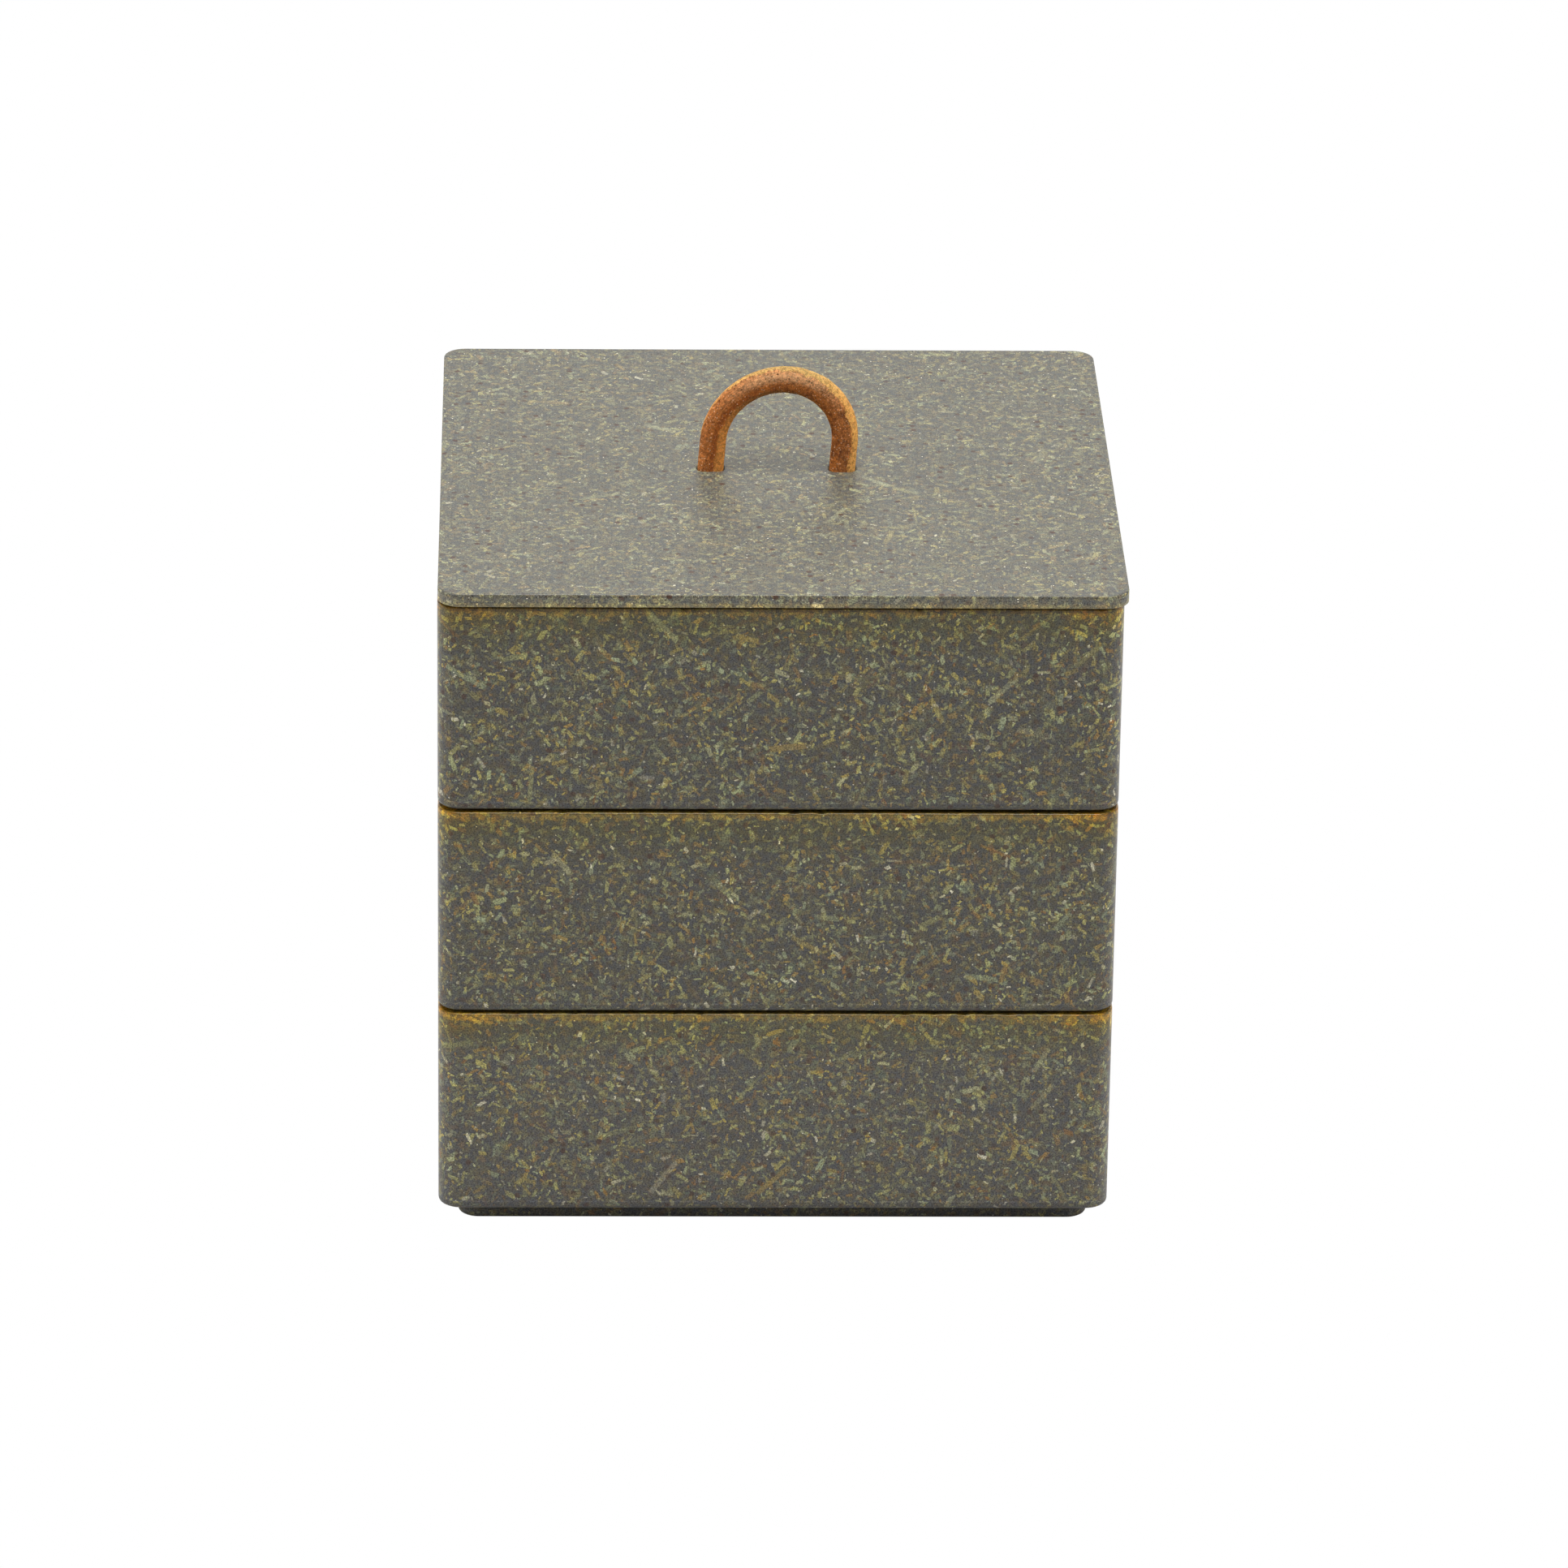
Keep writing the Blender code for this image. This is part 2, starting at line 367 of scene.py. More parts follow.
def trayUv(bm, shape, half, height, shiftU, shiftV):
    layer = bm.loops.layers.uv.new("flow")
    wall = (half, shape["cornerRadius"])
    quarter = quarterLength(wall)
    for face in bm.faces:
        centre = face.calc_center_median()
        depth = depthInside(centre, *wall)
        isSheet = abs(face.normal.z) > flowRule["flatTray"] and depth > shape["wall"] + edgeWear["rimReach"]
        looksDown = face.normal.z < flowRule["looksDown"] or centre.z < shape["footHeight"]
        isUnder = looksDown and centre.z < height / 2 and depth < shape["wall"] + shape["footRing"] * 2
        ring = trayRing(shape, half, depth, isUnder)
        sheet = flowShift["trayFloor" if centre.z > flowRule["midFloor"] else "trayUnder"]
        for loop in face.loops:
            point = loop.vert.co
            if isSheet:
                loop[layer].uv = (point.x / mm + shiftU + flowShift["sheet"], point.y / mm + shiftV + sheet)
                continue
            inside, below = depthInside(point, *wall), height - point.z
            if isUnder:
                across = -below - inside
            elif inside < shape["wall"] / 2:
                across = inside - below
            else:
                across = inside + below
            loop[layer].uv = (wrapped(point, centre, ring, quarter) / mm + shiftU, across / mm)


trayNames = (("bottom_tray", "bottomTray"), ("middle_tray", "middleTray"), ("top_tray", "topTray"))
trayHalf, trayHeight = boxSize("bottom_tray")[:2]
trayMaster = trayBmesh(trayShape, trayHalf, trayHeight)
sideLength = quarterLength((trayHalf, trayShape["cornerRadius"])) / mm  # one side and a corner
trays = []
for index, (node, name) in enumerate(trayNames):
    bm = trayMaster.copy()
    wearTray(bm, trayShape, trayHalf, trayHeight, edgeWear, index + 1)
    start = (flowShift["trayStart"] + flowShift["trayStep"] * index) * sideLength
    trayUv(bm, trayShape, trayHalf, trayHeight, start, flowShift["sheetStep"] * index)
    bmesh.ops.translate(bm, vec=boxSize(node)[2], verts=bm.verts)
    tray = finishPiece(name, bm)
    holdFlats(tray)
    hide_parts(node)
    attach(tray, node)
    trays.append(tray)
trayMaster.free()
print("trays made:", len(trays))


# Lid: a plate with a rib under it, two bosses and the sockets that the leather stands in

lidShape = {
    "thickness": 3.1 * mm,
    "cornerRadius": 5.0 * mm,
    "topRadius": 0.5 * mm,
    "lowerRadius": 0.2 * mm,
    "ribPlay": 1.0 * mm,
    "ribRadius": 0.8 * mm,
    "ribWidth": 3.4 * mm,
    "overhang": 0.4 * mm,
    "socketDepth": 5.0 * mm,
    "socketFloor": 1.4 * mm,
    "socketHalf": (3.3 * mm, 2.5 * mm),
    "socketRadius": 2.0 * mm,
    "socketAbove": 2 * mm,  # how far the cutting block stands out of the plate
    "bossRadius": 5.9 * mm,
    "span": 29.6 * mm,
    "longEdge": 60 * mm,
    "cuts": 190,
    "wearSeed": 7,
    "flowStart": 8000,      # where its pattern starts, in millimetres
    "sharpAngle": 50,
}


def lidRings(shape, half):  # the outlines of the plate, of the rib and of the space inside the rib
    margin = shape["overhang"] + trayShape["wall"] + shape["ribPlay"]
    ribHalf = [size - margin for size in half]
    innerHalf = [size - shape["ribWidth"] for size in ribHalf]
    ribCorner = trayShape["mouthRadius"] - shape["ribPlay"]
    return (half, shape["cornerRadius"]), (ribHalf, ribCorner), (innerHalf, ribCorner - shape["ribWidth"])


def lidBmesh(shape, half, height):  # the plate's underside lies at 0
    thickness = shape["thickness"]
    ribHeight = height - thickness
    bm = blockFrom(half, 0, thickness)
    plate, rib, inner = lidRings(shape, half)
    ribFace = stepIn(bm, faceAt(bm, 0, -1), half[0] - rib[0][0], -ribHeight)
    stepIn(bm, ribFace, shape["ribWidth"], ribHeight)
    roundAll(bm, ((*plate, 12), (*rib, 10), (*inner, 4)), (
        (*plate, thickness, shape["topRadius"], 4),
        (*plate, 0, shape["lowerRadius"], 3),
        (*rib, -ribHeight, shape["ribRadius"], 4),
        (*inner, -ribHeight, shape["ribRadius"], 3)))
    cutLongEdges(bm, shape)
    return bm


def wearLid(bm, shape, half, wear):
    seed = shape["wearSeed"]
    shift = Vector((17.0 * seed, 29.0 * seed, 3.0 * seed))
    for vert in bm.verts:
        if depthInside(vert.co, half, shape["cornerRadius"]) > wear["sideReach"] or vert.co.z < -close:
            continue
        place = vert.co / mm * wear["roughScale"] + shift
        outward = Vector((vert.co.x, vert.co.y, 0)).normalized()
        share = 1.0 if vert.co.z < shape["thickness"] / 2 else wear["topShare"]
        vert.co -= outward * abs(wanderAt(place)) * wear["rough"] * share
        if vert.co.z < wear["lowReach"]:
            vert.co.z += abs(noise.noise(place * 1.3)) * wear["rough"]


def lidUv(piece, shape, half, origin):
    bm = bmesh.new()
    bm.from_mesh(piece.data)
    bm.normal_update()
    layer = bm.loops.layers.uv.new("flow")
    rings = lidRings(shape, half)
    start = shape["flowStart"]
    for face in bm.faces:
        centre = face.calc_center_median() - origin
        isSteep = abs(face.normal.z) < flowRule["flatLid"]
        number = min(range(3), key=lambda index: abs(depthInside(centre, *rings[index])))
        ring = rings[number]
        onRing = isSteep and abs(depthInside(centre, *ring)) < flowRule["onRing"]
        bossX = math.copysign(shape["span"] / 2, centre.x)
        bossTurn = math.atan2(centre.y, centre.x - bossX)
        side = flowShift["lidTop" if face.normal.z > 0 else "lidUnder"]
        for loop in face.loops:
            point = loop.vert.co - origin
            if onRing:
                along = wrapped(point, centre, ring, quarterLength(ring))
                above = (point.z - shape["lowerRadius"]) / mm
                loop[layer].uv = (along / mm + start, above + flowShift["lidRing"] * number)
            elif isSteep:  # round a boss or a socket
                turn = sameLap(math.atan2(point.y, point.x - bossX), bossTurn, 2 * math.pi)
                along = turn * shape["bossRadius"] + flowShift["bossApart"] * bossX
                loop[layer].uv = (along / mm + start, point.z / mm + flowShift["boss"])
            else:
                loop[layer].uv = (point.x / mm + start, point.y / mm + side)
    bm.to_mesh(piece.data)
    bm.free()


def toolObject(name, bm, centre):
    bmesh.ops.translate(bm, vec=centre, verts=bm.verts)
    return finishPiece(name, bm)


def cutAndJoin(piece, tools):  # each tool is (object, operation), and the result becomes the piece's own mesh
    for tool, operation in tools:
        step = piece.modifiers.new(tool.name, "BOOLEAN")
        step.object = tool
        step.operation = operation
        step.solver = "EXACT"
    bpy.context.view_layer.update()
    merged = bpy.data.meshes.new_from_object(piece.evaluated_get(bpy.context.evaluated_depsgraph_get()))
    piece.modifiers.clear()
    piece.data = merged
    for tool, operation in tools:
        bpy.data.objects.remove(tool)


def bossTool(shape, side, origin):
    height = shape["socketDepth"] + shape["socketFloor"] - shape["thickness"] / 2
    bm = bmesh.new()
    bmesh.ops.create_cone(bm, cap_ends=True, segments=48, radius1=shape["bossRadius"],
                          radius2=shape["bossRadius"], depth=height)
    middle = Vector((side * shape["span"] / 2, 0, shape["thickness"] / 2 - height / 2))
    return toolObject(f"boss{side}", bm, origin + middle), "UNION"


def socketTool(shape, side, origin):
    halfX, halfY = shape["socketHalf"]
    height = shape["socketDepth"] + shape["socketAbove"]
    bm = bmesh.new()
    bmesh.ops.create_cube(bm, size=1)
    bmesh.ops.scale(bm, vec=(2 * halfX, 2 * halfY, height), verts=bm.verts)
    roundOff(bm, uprightEdges(bm, shape["socketHalf"]), shape["socketRadius"], 6)
    middle = Vector((side * shape["span"] / 2, 0, shape["thickness"] - shape["socketDepth"] + height / 2))
    return toolObject(f"socket{side}", bm, origin + middle), "DIFFERENCE"


def makeLid(shape, wear):
    half, height, low = boxSize("lid")
    origin = low + Vector((0, 0, height - shape["thickness"]))
    bm = lidBmesh(shape, half, height)
    wearLid(bm, shape, half, wear)
    bmesh.ops.translate(bm, vec=origin, verts=bm.verts)
    lid = finishPiece("lidPlate", bm)
    cutAndJoin(lid, [tool(shape, side, origin) for tool in (bossTool, socketTool) for side in (-1, 1)])
    lidUv(lid, shape, half, origin)
    lid.data.shade_smooth()
    lid.data.set_sharp_from_angle(angle=math.radians(shape["sharpAngle"]))
    holdFlats(lid)
    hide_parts("lid")
    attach(lid, "lid")
    return lid, origin + Vector((0, 0, shape["thickness"]))


lid, lidTop = makeLid(lidShape, edgeWear)
print("lid made")


# Leather loop: a thick strip with rounded edges, bent to an arch that leans to the right

loopShape = {
    "width": 6.0 * mm,   # in the plane of the arch
    "thickness": 4.4 * mm,
    "squareness": 2.7,   # 2 would be an oval section
    "span": 29.6 * mm,
    "leg": 6.5 * mm,
    "centreHeight": 21.3 * mm,
    "lean": 1.5 * mm,
    "inSocket": 4.7 * mm,
    "sides": 56,
    "legSteps": 36,
    "archSteps": 150,
    "rough": 0.11 * mm,
    "bumpsAround": 2.2,  # waves over the radius of a turn, and for each millimetre
    "bumpsAlong": 0.35,
    # how fine each noise is, and how strong
    "bumps": ((1.0, 1.0), (2.7, 0.7), (6.3, 0.8)),
    "sink": 0.6,         # keeps the bumps from rising out of the strip
}


def loopPlace(point, shape):  # along the strip, and the angle round it, before it is leant and roughened
    half = shape["span"] / 2
    if point.z <= shape["leg"]:
        isLeft = point.x < 0
        along = point.z if isLeft else 2 * shape["leg"] + math.pi * half - point.z
        outward = (-point.x if isLeft else point.x) - half
    else:
        spanned = math.atan2(point.z - shape["leg"], -point.x)
        along = shape["leg"] + spanned * half
        outward = math.hypot(point.x, point.z - shape["leg"]) - half
    return along, math.atan2(outward, -point.y)


def loopBmesh(shape):  # the section is drawn at the left end, then led up, over and down
    half = shape["span"] / 2
    bm = bmesh.new()
    bmesh.ops.create_circle(bm, cap_ends=True, segments=shape["sides"], radius=1)
    power = 2 / shape["squareness"]
    for vert in bm.verts:
        x, y = vert.co.x, vert.co.y
        vert.co.x = math.copysign(abs(x) ** power, x) * shape["width"] / 2 - half
        vert.co.y = math.copysign(abs(y) ** power, y) * shape["thickness"] / 2
        vert.co.z = -shape["inSocket"]
    step = (shape["leg"] + shape["inSocket"]) / shape["legSteps"]
    cap = pushCap(bm, bm.faces[:], step, shape["legSteps"])
    bent = bmesh.ops.spin(bm, geom=cap, cent=(0, 0, shape["leg"]), axis=(0, 1, 0), angle=math.pi,
                          steps=shape["archSteps"], use_merge=False, use_duplicate=False)
    bmesh.ops.delete(bm, geom=cap, context="FACES_ONLY")  # spin leaves its first face inside
    cap = [item for item in bent["geom_last"] if isinstance(item, bmesh.types.BMFace)]
    pushCap(bm, cap, -step, shape["legSteps"])
    bmesh.ops.contextual_create(bm, geom=[edge for edge in bm.edges if edge.is_boundary])
    bmesh.ops.remove_doubles(bm, verts=bm.verts, dist=touching)
    bmesh.ops.recalc_face_normals(bm, faces=bm.faces)
    return bm


def loopUv(bm, shape):
    layer = bm.loops.layers.uv.new("strip")
    for face in bm.faces:
        middleRound = loopPlace(face.calc_center_median(), shape)[1]
        for corner in face.loops:
            along, around = loopPlace(corner.vert.co, shape)
            corner[layer].uv = (along / mm, sameLap(around, middleRound, 2 * math.pi))


def wearLoop(bm, shape):
    half = shape["span"] / 2
    bm.normal_update()
    normals = {vert: vert.normal.copy() for vert in bm.verts}
    stretch = shape["centreHeight"] - shape["leg"] - half
    for vert, normal in normals.items():
        point = vert.co
        along, around = loopPlace(point, shape)
        place = Vector((math.cos(around) * shape["bumpsAround"], math.sin(around) * shape["bumpsAround"],
                        along / mm * shape["bumpsAlong"]))
        bumps = sum(share * noise.noise(place * fine) for fine, share in shape["bumps"])
        vert.co = point + normal * (bumps * shape["sink"] - shape["sink"]) * shape["rough"]
        if point.z > shape["leg"]:
            vert.co.z += stretch * (point.z - shape["leg"]) / half
        vert.co.x += shape["lean"] * max(vert.co.z, 0) / shape["centreHeight"]


def makeLoop(shape, top):
    bm = loopBmesh(shape)
    loopUv(bm, shape)
    wearLoop(bm, shape)
    bmesh.ops.translate(bm, vec=top, verts=bm.verts)
    loop = finishPiece("leatherLoop", bm)
    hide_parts("handle_loop")
    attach(loop, "lid")
    return loop


leatherLoop = makeLoop(loopShape, lidTop)
print("leather loop made")


# Materials. A Wire is one output of a node, and sums on wires add their Math nodes

fullTurn = 6.2832  # radians
multiplied = {"data_type": "RGBA", "blend_type": "MULTIPLY"}
flat = {"voronoi_dimensions": "2D"}


class Wire:
    def __init__(self, tree, socket=None):
        self.tree = tree
        self.socket = socket

    def node(self, kind, settings=None, inputs=None, output=0):
        made = self.tree.nodes.new("ShaderNode" + kind)
        for key, value in (settings or {}).items():
            if key == "stops":
                ramp = made.color_ramp
                while len(ramp.elements) < len(value):
                    ramp.elements.new(0.5)
                for element, (position, colour) in zip(ramp.elements, value):
                    element.position = position
                    element.color = rgba(colour)
            else:
                setattr(made, key, value)
        for key, value in (inputs or {}).items():
            if isinstance(value, Wire):
                self.tree.links.new(value.socket, made.inputs[key])
            else:
                made.inputs[key].default_value = value
        return Wire(self.tree, made.outputs[output])

    def out(self, name):
        return Wire(self.tree, self.socket.node.outputs[name])

    def math(self, operation, other=None):
        values = {0: self} if other is None else {0: self, 1: other}
        return self.node("Math", {"operation": operation}, values)

    def __add__(self, other):
        return self.math("ADD", other)

    def __sub__(self, other):
        return self.math("SUBTRACT", other)

    def __rsub__(self, other):
        return self.node("Math", {"operation": "SUBTRACT"}, {0: other, 1: self})

    def __mul__(self, other):
        return self.math("MULTIPLY", other)

    def __truediv__(self, other):
        return self.math("DIVIDE", other)

    def __pow__(self, other):
        return self.math("POWER", other)

    __radd__ = __add__
    __rmul__ = __mul__

    def upTo(self, most):
        return self.math("MINIMUM", most)

    def vector(self, operation, other):
        return self.node("VectorMath", {"operation": operation}, {0: self, 1: other})

    def ramp(self, low, high):  # 0 below low, 1 above high, smooth between
        return self.node("MapRange", {"interpolation_type": "SMOOTHSTEP", "clamp": True},
                         {"Value": self, "From Min": low, "From Max": high})

    def raised(self, least, more):  # turns 0 to 1 into least to least + more
        return least + more * self

    def between(self, rise, fall):  # 1 from the end of rise to the start of fall
        return self.ramp(*rise) * (1 - self.ramp(*fall))

    def blend(self, first, second):  # mixes two colours by this value
        return self.node("Mix", {"data_type": "RGBA"}, {0: self, 6: first, 7: second}, 2)

    def tint(self, base, colour):  # multiplies a colour by another, as much as this value says
        return self.node("Mix", multiplied, {0: self, 6: base, 7: colour}, 2)


def rgba(colour):
    return (*colour, 1)


def linear(red, green, blue):  # a colour given as it looks on a screen, 0 to 255
    return tuple(((value / 255 + 0.055) / 1.055) ** 2.4 if value > 10 else value / 255 / 12.92
                 for value in (red, green, blue))


def mixed(first, second, share):
    return tuple(a + (b - a) * share for a, b in zip(first, second))


def newMaterial(name, roughness, specular):
    material = bpy.data.materials.new(name)
    material.use_nodes = True
    shader = material.node_tree.nodes["Principled BSDF"]
    shader.inputs["Roughness"].default_value = roughness
    shader.inputs["Specular IOR Level"].default_value = specular
    return material, Wire(material.node_tree), shader


def plug(wire, shader, name):
    wire.tree.links.new(wire.socket, shader.inputs[name])


def cellsOf(wire, place, size, settings):  # cells of about this size, and the three dice that each one has
    cell = wire.node("TexVoronoi", settings, {"Vector": place, "Scale": 1 / size})
    return cell, wire.node("SeparateColor", None, {"Color": cell.out("Color")})


def toned(wire, colour, grain, stops):  # darkens and lightens a colour by a noise
    tone = wire.node("ValToRGB", {"stops": stops}, {"Fac": grain})
    return wire.node("Mix", multiplied, {0: 1.0, 6: colour, 7: tone}, 2)


# Chips of plant in the resin: one layer of cells for each kind, with one chip in a cell
# Spacing, length and width are in millimetres, chance is how many cells hold one, and show is how opaque
# the faintest and the clearest are

resinChips = {
    "sunk husk": {"spacing": 4.2, "length": 3.6, "width": 1.8, "chance": 0.75, "soft": 0.50,
                  "show": (0.10, 0.38), "tones": "dull"},
    "sunk stem": {"spacing": 2.7, "length": 2.5, "width": 1.1, "chance": 0.80, "soft": 0.34,
                  "show": (0.12, 0.45), "tones": "dull"},
    "crumb": {"spacing": 1.5, "length": 1.4, "width": 0.8, "chance": 0.80, "soft": 0.24,
              "show": (0.12, 0.55), "tones": "dull"},
    "stem": {"spacing": 3.2, "length": 2.7, "width": 1.0, "chance": 0.60, "soft": 0.16,
             "show": (0.16, 0.74), "tones": "straw"},
    "chip": {"spacing": 2.0, "length": 1.7, "width": 0.8, "chance": 0.62, "soft": 0.14,
             "show": (0.18, 0.84), "tones": "straw"},
    "shred": {"spacing": 1.2, "length": 1.0, "width": 0.5, "chance": 0.44, "soft": 0.10,
              "show": (0.24, 1.00), "tones": "straw"},
    "blade": {"spacing": 12.0, "length": 7.5, "width": 1.2, "chance": 0.35, "soft": 0.16,
              "show": (0.22, 0.55), "tones": "straw"},
}

chipTones = {
    "dull": [
        (0.00, linear(78, 52, 42)),
        (0.16, linear(100, 76, 44)),
        (0.34, linear(100, 88, 48)),
        (0.60, linear(114, 108, 64)),
        (0.85, linear(94, 106, 82)),
        (1.00, linear(126, 124, 94)),
    ],
    "straw": [
        (0.00, linear(118, 82, 38)),
        (0.14, linear(133, 106, 54)),
        (0.30, linear(142, 127, 63)),
        (0.50, linear(150, 144, 86)),
        (0.68, linear(137, 139, 92)),
        (0.84, linear(130, 138, 108)),
        (0.96, linear(160, 154, 112)),
        (1.00, linear(202, 196, 170)),
    ],
}

paleChip = linear(160, 158, 128)  # what the chips of the lid fade towards

resinSpecks = {  # size is in millimetres, and shift keeps them off each other
    "pale": {"size": 0.6, "chance": 0.02, "tone": linear(204, 198, 176), "shift": 3.3},
    "dark": {"size": 0.7, "chance": 0.26, "tone": linear(38, 27, 14), "shift": 8.8},
    "pit": {"size": 0.45, "chance": 0.24, "tone": linear(28, 20, 11), "shift": 6.4},
    "brown": {"size": 2.6, "chance": 0.20, "tone": linear(58, 36, 24), "shift": 5.1},
}

resinNoise = {
    "ragged": {"Scale": 1.6, "Detail": 3.0, "Roughness": 0.65},   # shakes the outlines of the chips
    "patchy": {"Scale": 0.11, "Detail": 4.0},                     # where they crowd
    "grain": {"Scale": 2.8, "Detail": 4.0, "Roughness": 0.8},
    "smudge": {"Scale": 0.55, "Detail": 4.0, "Roughness": 0.7},
    "blotch": {"Scale": 0.30, "Detail": 4.0, "Roughness": 0.65},  # where the stain takes
}

chipForm = {
    "shift": (17.3, 9.1),  # moves each layer, so that the cells of two never match
    "least": 0.28,         # half a length or width is this share of it, and up to spread more
    "spread": 0.42,
    "slant": 0.35,         # how askew the sides and the ends may be
    "skew": 0.9,
    "overlap": 0.03,
}

resinForm = {
    "raggedness": 0.36,         # millimetres
    "warm": (0.40, 0.66),       # where the smudge is in this reach, the resin turns warm
    "crowd": (0.62, 0.76),      # how much the chips show at least, and how much more where they crowd
    "crowded": (0.25, 0.75),
    "belowLine": (0.55, 0.45),  # the same below the mould line and above it
    "nearLine": (-1.0, 1.5),
    "chipGrain": (0.76, 0.48),
    "speckSize": 0.30,          # shares of a cell
    "speckEdge": 0.12,
    "uneven": (0.45, 0.8),
    "blotches": (0.32, 0.62),
    "polish": 0.18,             # how much the grain changes the roughness
    "darker": 0.50,             # how much the grain darkens and lightens
    "lighter": 0.55,
    "grainReach": (0.42, 0.5, 0.58),
    "heights": {"grain": 0.3, "chip": 0.5, "speck": 0.4},
    "relief": 0.04 * mm,
}

trayLook = {
    "base": linear(62, 62, 62),
    "baseWarm": linear(70, 65, 51),
    "roughness": 0.30,
    "specular": 0.40,
    "grain": 0.95,
    "bump": 0.30,
    "chipShow": 0.94,
    "fade": 0.0,
    "specks": 0.8,
    "stain": 1.0,
    # painted shade in the joint, where the tier or lid above sits on the rim
    "jointShade": (0.75, 0.20, 0.55),  # how far down the edge darkens, how far it is full, and how dark
    "mouldLine": 46.2,          # millimetres below the rim
}

# The top tier has a little less stain and a deeper painted shade under the lid's edge
topStainAndShadeLook = dict(trayLook, stain=0.9, jointShade=(1.25, 0.65, 0.90))
# The bottom tier is paler and warmer: painted light for the light the floor throws up on it
bottomPaintedLightLook = dict(trayLook, base=linear(66, 66, 67), baseWarm=linear(76, 71, 60))

lidLook = {
    "base": linear(68, 69, 66),
    "baseWarm": linear(80, 75, 63),
    "roughness": 0.47,
    "specular": 0.5,
    "grain": 0.95,
    "bump": 0.45,
    "chipShow": 0.57,
    "fade": 0.25,
    "specks": 1.0,
    "stain": 0.0,
    "mouldLine": 0.0,
}

# The resin of the trays yellows below a rim and is darker below the mould line, and painted shade darkens the
# rim where the tier or lid above sits. A reach is in millimetres from the rim, less than 0 outside

rimStainAndShade = {
    "inside": (3.0, 9.0),      # how far it reaches down the inside
    "corner": (0.028, 0.110),  # shares of a side, from the middle of a corner
    "sharp": (-2.0, -0.9),
    "wobble": 5.0,             # millimetres that its lower edge wanders
    "sharpTint": (1.55, 1.34, 0.68),
    "patch": linear(134, 106, 44),
    "patches": (0.40, 0.60),
    "patchShow": (0.08, 0.45),
    "faint": (-16.0, -2.0),
    "faintFall": 1.6,          # more than 1 keeps it near the rim
    "faintShow": (0.5, 0.5),
    "faintTint": (0.97, 0.93, 0.60),
    "gold": (-7.0, -1.0),
    "goldTint": (1.35, 1.10, 0.50),
    "line": (0.10, 0.32),      # from the mould line, as the next
    "lineShow": 0.8,
    "lineTint": (1.45, 1.45, 1.5),
    "low": (-1.0, 2.0),
    "lowTint": (0.86, 0.86, 0.88),
    # painted shade in the joint: over the rim's top and down the outside, under the tier or lid above
    "jointShadeInside": (2.8, 3.4),
    "jointShadeTint": (0.50, 0.44, 0.30),
}

# The lid's edge is paler, with a yellow flash along its foot and a dull upper corner

lidEdge = {
    "band": ((-1.0, 0.3), (3.1, 3.3)),
    "bandTint": (1.18, 1.16, 1.14),
    "flash": ((-1.5, -0.6), (0.5, 1.1)),
    "flashTint": (1.75, 1.56, 1.05),
    "dull": ((1.9, 2.3), (3.2, 3.6)),
    "dullness": 0.5,
}


def flatNoise(flow, kind, output=0):
    return flow.node("TexNoise", {"noise_dimensions": "2D"}, {"Vector": flow, **resinNoise[kind]}, output)


def chipLayer(wire, place, chip, number):  # how much of a chip covers each point, and the die for its tone
    moved = place.vector("ADD", (*(part * number for part in chipForm["shift"]), 0))
    cell, first = cellsOf(wire, moved, chip["spacing"], flat)
    second, third = first.out("Green"), first.out("Blue")
    offset = moved.vector("SUBTRACT", cell.out("Position"))
    angle = first * fullTurn
    turned = wire.node("VectorRotate", {"rotation_type": "Z_AXIS"}, {"Vector": offset, "Angle": angle})
    axes = wire.node("SeparateXYZ", None, {"Vector": turned})
    lengthways, across = axes, axes.out("Y")
    # three more dice, thrown with the first three
    aspect = (first * 41.7 + second * 23.9 + third * 7.3).math("FRACT")
    depth = (second * 57.1 + third * 31.3).math("FRACT")
    held = (first * 13.7 + third * 71.9).math("FRACT")
    halfLength = chip["length"] * (chipForm["least"] + chipForm["spread"] * second)
    halfWidth = chip["width"] * (chipForm["least"] + chipForm["spread"] * aspect)
    slant = across + lengthways * (aspect - 0.5) * chipForm["slant"]
    ends = lengthways + across * (depth - 0.5) * chipForm["skew"]
    outside = (ends.math("ABSOLUTE") - halfLength).math("MAXIMUM", slant.math("ABSOLUTE") - halfWidth)
    body = 1 - outside.ramp(-chip["soft"], chipForm["overlap"])
    least, most = chip["show"]
    cover = body * held.math("LESS_THAN", chip["chance"]) * (least + (most - least) * depth * depth)
    return cover, third


def stainAndShadeWall(colour, look, stain, axes, blotch, smudge, uneven):
    down = axes.out("Y")
    sides = axes / sideLength
    corner = 1 - sides.math("PINGPONG", 0.5).ramp(*stain["corner"])
    inner = 1 - down.ramp(*stain["inside"])
    sharp = (down + (blotch - 0.5) * stain["wobble"]).ramp(*stain["sharp"]) * inner * uneven
    faint = down.ramp(*stain["faint"]) ** stain["faintFall"] * inner * uneven.raised(*stain["faintShow"])
    gold = corner * down.ramp(*stain["gold"]) * inner * uneven
    colour = faint.upTo(1.0).tint(colour, rgba(stain["faintTint"]))
    colour = (sharp * look["stain"]).tint(colour, rgba(stain["sharpTint"]))
    patches = sharp * look["stain"] * smudge.ramp(*stain["patches"]).raised(*stain["patchShow"])
    colour = patches.blend(colour, rgba(stain["patch"]))
    colour = gold.upTo(1.0).tint(colour, rgba(stain["goldTint"]))
    fromLine = down + look["mouldLine"]
    line = 1 - fromLine.math("ABSOLUTE").ramp(*stain["line"])
    colour = (line * uneven * stain["lineShow"]).tint(colour, rgba(stain["lineTint"]))
    low = 1 - fromLine.ramp(*stain["low"])
    colour = low.tint(colour, rgba(stain["lowTint"]))
    # painted shade in the joint under the tier or lid above
    fading, full, shade = look["jointShade"]
    jointShade = down.between((-fading, -full), stain["jointShadeInside"])
    return (jointShade * shade).tint(colour, rgba(stain["jointShadeTint"]))


